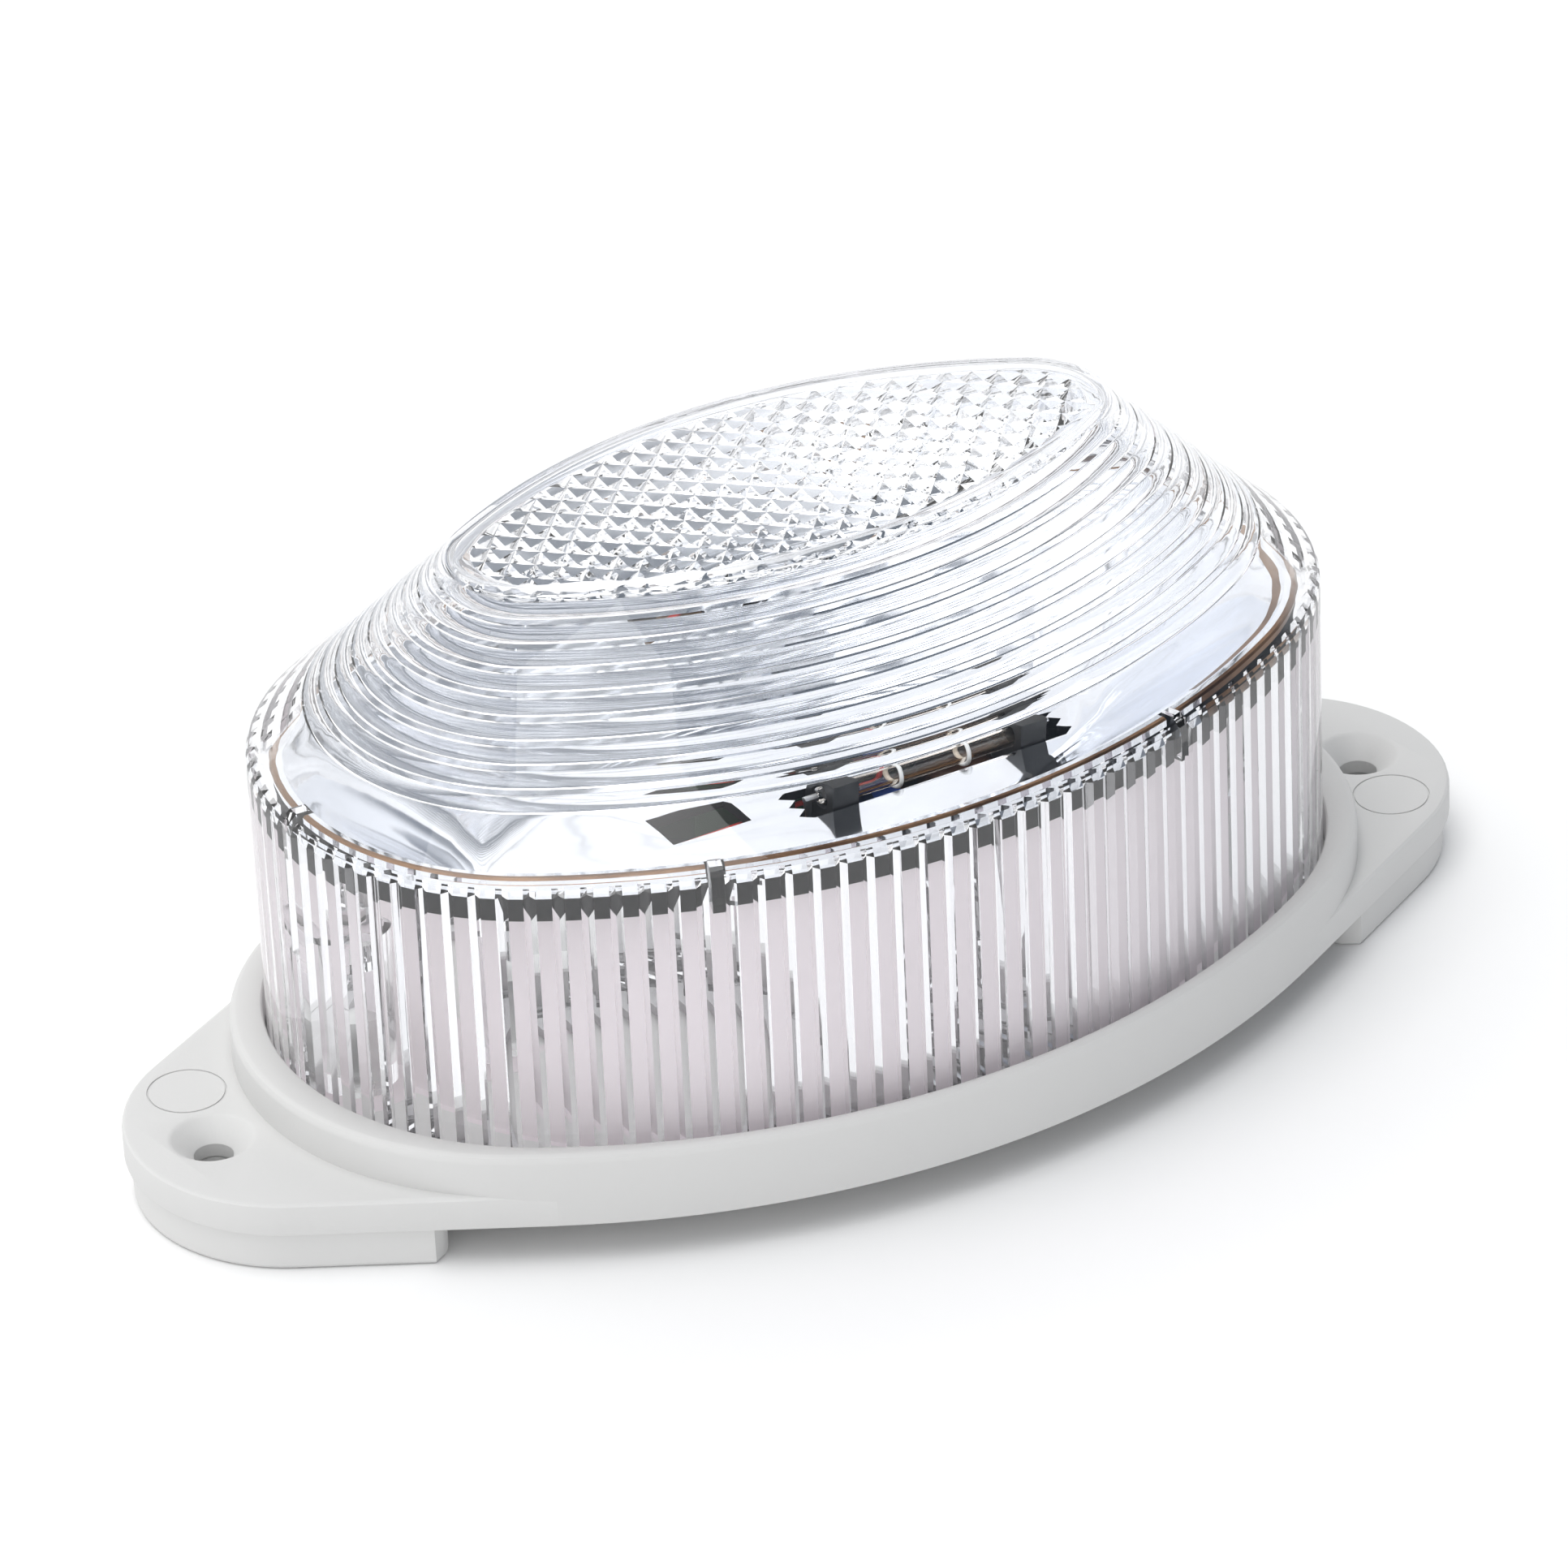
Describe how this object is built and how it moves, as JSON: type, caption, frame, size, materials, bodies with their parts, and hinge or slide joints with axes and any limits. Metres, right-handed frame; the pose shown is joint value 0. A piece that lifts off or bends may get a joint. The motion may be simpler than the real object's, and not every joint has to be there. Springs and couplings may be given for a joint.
{
  "type": "strobe light",
  "caption": "Oval wall strobe light: grey base with two screw ears, ribbed clear lens over a mirrored dish and flash tube, electronics in a bucket behind.",
  "frame": {"origin": "centre of the lamp on the mounting plane, level with the bottoms of the two feet", "axes": "+X along the lamp from ear to ear, +Z out of the wall through the lens, +Y across the lamp"},
  "size_m": [0.15, 0.0784, 0.0624],
  "materials": {
    "base_plastic": "fine spark-eroded texture",
    "foam": "soft closed-cell foam",
    "clear_plastic": "clear moulded polycarbonate",
    "plated_steel": "zinc plated",
    "reflector": "vacuum metallised over black plastic",
    "board": "phenolic paper laminate",
    "solder": "dull tin",
    "tinned_wire": "tinned",
    "tube_glass": "clear glass, slightly smoked",
    "black_plastic": "matt heat-proof moulding",
    "ring_wire": "white insulated wire",
    "red_sleeve": "satin sleeve",
    "bobbin": "matt",
    "enamelled_copper": "enamelled wire",
    "capacitor_sleeve": "shrunk sleeve",
    "red_resin": "dipped resin",
    "black_epoxy": "moulded epoxy",
    "resistor_green": "cement coat",
    "resistor_tan": "lacquer with colour bands",
    "blue_resin": "dipped resin",
    "fuse_case": "moulded case",
    "terminal_plastic": "moulded polyamide",
    "brass": "nickel-free brass",
    "rubber": "moulded rubber"
  },
  "bodies": {
    "base": {"base_housing": "base_plastic", "lens_gasket": "foam", "lens_screws": "plated_steel", "circuit_board": "board", "board_screws": "plated_steel", "solder_joints": "solder", "component_leads": "tinned_wire", "flash_tube": "tube_glass", "tube_electrodes": "tinned_wire", "tube_holders": "black_plastic", "trigger_rings": "ring_wire", "trigger_lead": "red_sleeve", "trigger_coil": "bobbin", "coil_winding": "enamelled_copper", "flash_capacitor_left": "capacitor_sleeve", "flash_capacitor_right": "capacitor_sleeve", "trigger_capacitor": "red_resin", "rectifier_diodes": "black_epoxy", "ballast_resistor": "resistor_green", "timing_resistors": "resistor_tan", "thyristor": "black_epoxy", "varistor": "blue_resin", "fuse": "fuse_case", "terminal_block": "terminal_plastic", "terminal_bars": "brass", "cable_grommet": "rubber"},
    "lens": {"lens_cover": "clear_plastic", "reflector_tray": "reflector"},
    "screw_left": {"terminal_screw_left": "plated_steel"},
    "screw_right": {"terminal_screw_right": "plated_steel"},
    "clamp_left": {"terminal_clamp_left": "brass"},
    "clamp_right": {"terminal_clamp_right": "brass"}
  },
  "joints": [
    {"name": "lens_lift", "type": "slide", "parent": "base", "child": "lens", "axis": [0, 0, 1], "range_m": [0, 0.06]},
    {"name": "screw_left_turn", "type": "hinge", "parent": "base", "child": "screw_left", "pos_m": [-0.004, 0.0115, 0.019], "axis": [0, 0, 1], "range_deg": [-1080, 0]},
    {"name": "screw_right_turn", "type": "hinge", "parent": "base", "child": "screw_right", "pos_m": [0.004, 0.0115, 0.019], "axis": [0, 0, 1], "range_deg": [-1080, 0]},
    {"name": "clamp_left_rise", "type": "slide", "parent": "base", "child": "clamp_left", "axis": [0, 0, 1], "range_m": [0, 0.0015]},
    {"name": "clamp_right_rise", "type": "slide", "parent": "base", "child": "clamp_right", "axis": [0, 0, 1], "range_m": [0, 0.0015]}
  ],
  "couplings": [
    {"joint": "screw_left_turn", "follows": "clamp_left_rise", "rad_per_m": -12566},
    {"joint": "screw_right_turn", "follows": "clamp_right_rise", "rad_per_m": -12566}
  ]
}
